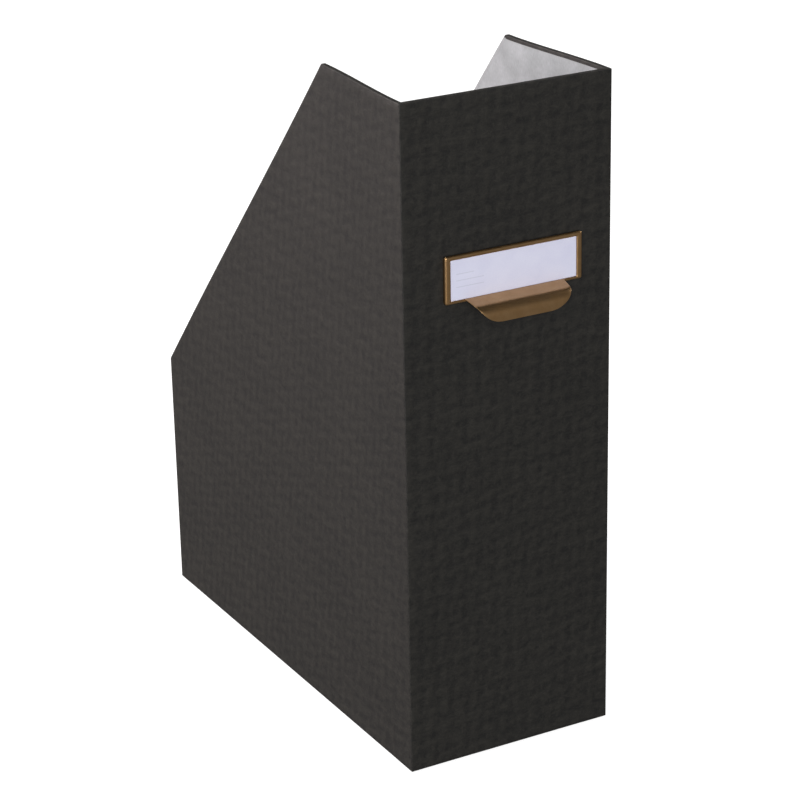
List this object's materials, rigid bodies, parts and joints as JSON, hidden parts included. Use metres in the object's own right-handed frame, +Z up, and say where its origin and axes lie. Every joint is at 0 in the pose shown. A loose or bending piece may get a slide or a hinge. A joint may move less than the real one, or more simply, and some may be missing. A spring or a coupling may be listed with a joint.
{
  "type": "magazine file holder",
  "caption": "Tall open-backed box file of paper-covered board with sloping sides, a low back, and a metal label frame with a finger pull on the front.",
  "frame": {"origin": "centre of the base, on the surface that the file stands on", "axes": "+Z up; -Y towards the tall front with the label holder, +Y towards the low back; +X to the right as seen from the front"},
  "size_m": [0.1068, 0.2628, 0.318],
  "materials": {
    "cover_paper": "embossed, semi-matt",
    "lining_paper": "matt",
    "grey_board": "matt",
    "stay_paper": "matt",
    "brass": "satin, slightly worn",
    "card": "matt"
  },
  "bodies": {
    "file_body": {"board_left": "grey_board", "board_right": "grey_board", "board_front": "grey_board", "board_back": "grey_board", "board_base": "grey_board", "corner_stay_front_left": "stay_paper", "corner_stay_front_right": "stay_paper", "corner_stay_back_left": "stay_paper", "corner_stay_back_right": "stay_paper", "cover_left": "cover_paper", "cover_right": "cover_paper", "cover_front": "cover_paper", "cover_back": "cover_paper", "cover_base": "cover_paper", "lining_front": "lining_paper", "lining_back": "lining_paper", "lining_left": "lining_paper", "lining_right": "lining_paper", "lining_base": "lining_paper", "label_holder": "brass"},
    "label_card": {"label_card": "card"}
  },
  "joints": [
    {"name": "label_card_slide", "type": "slide", "parent": "file_body", "child": "label_card", "axis": [0, 0, 1], "range_m": [0, 0.022]}
  ]
}
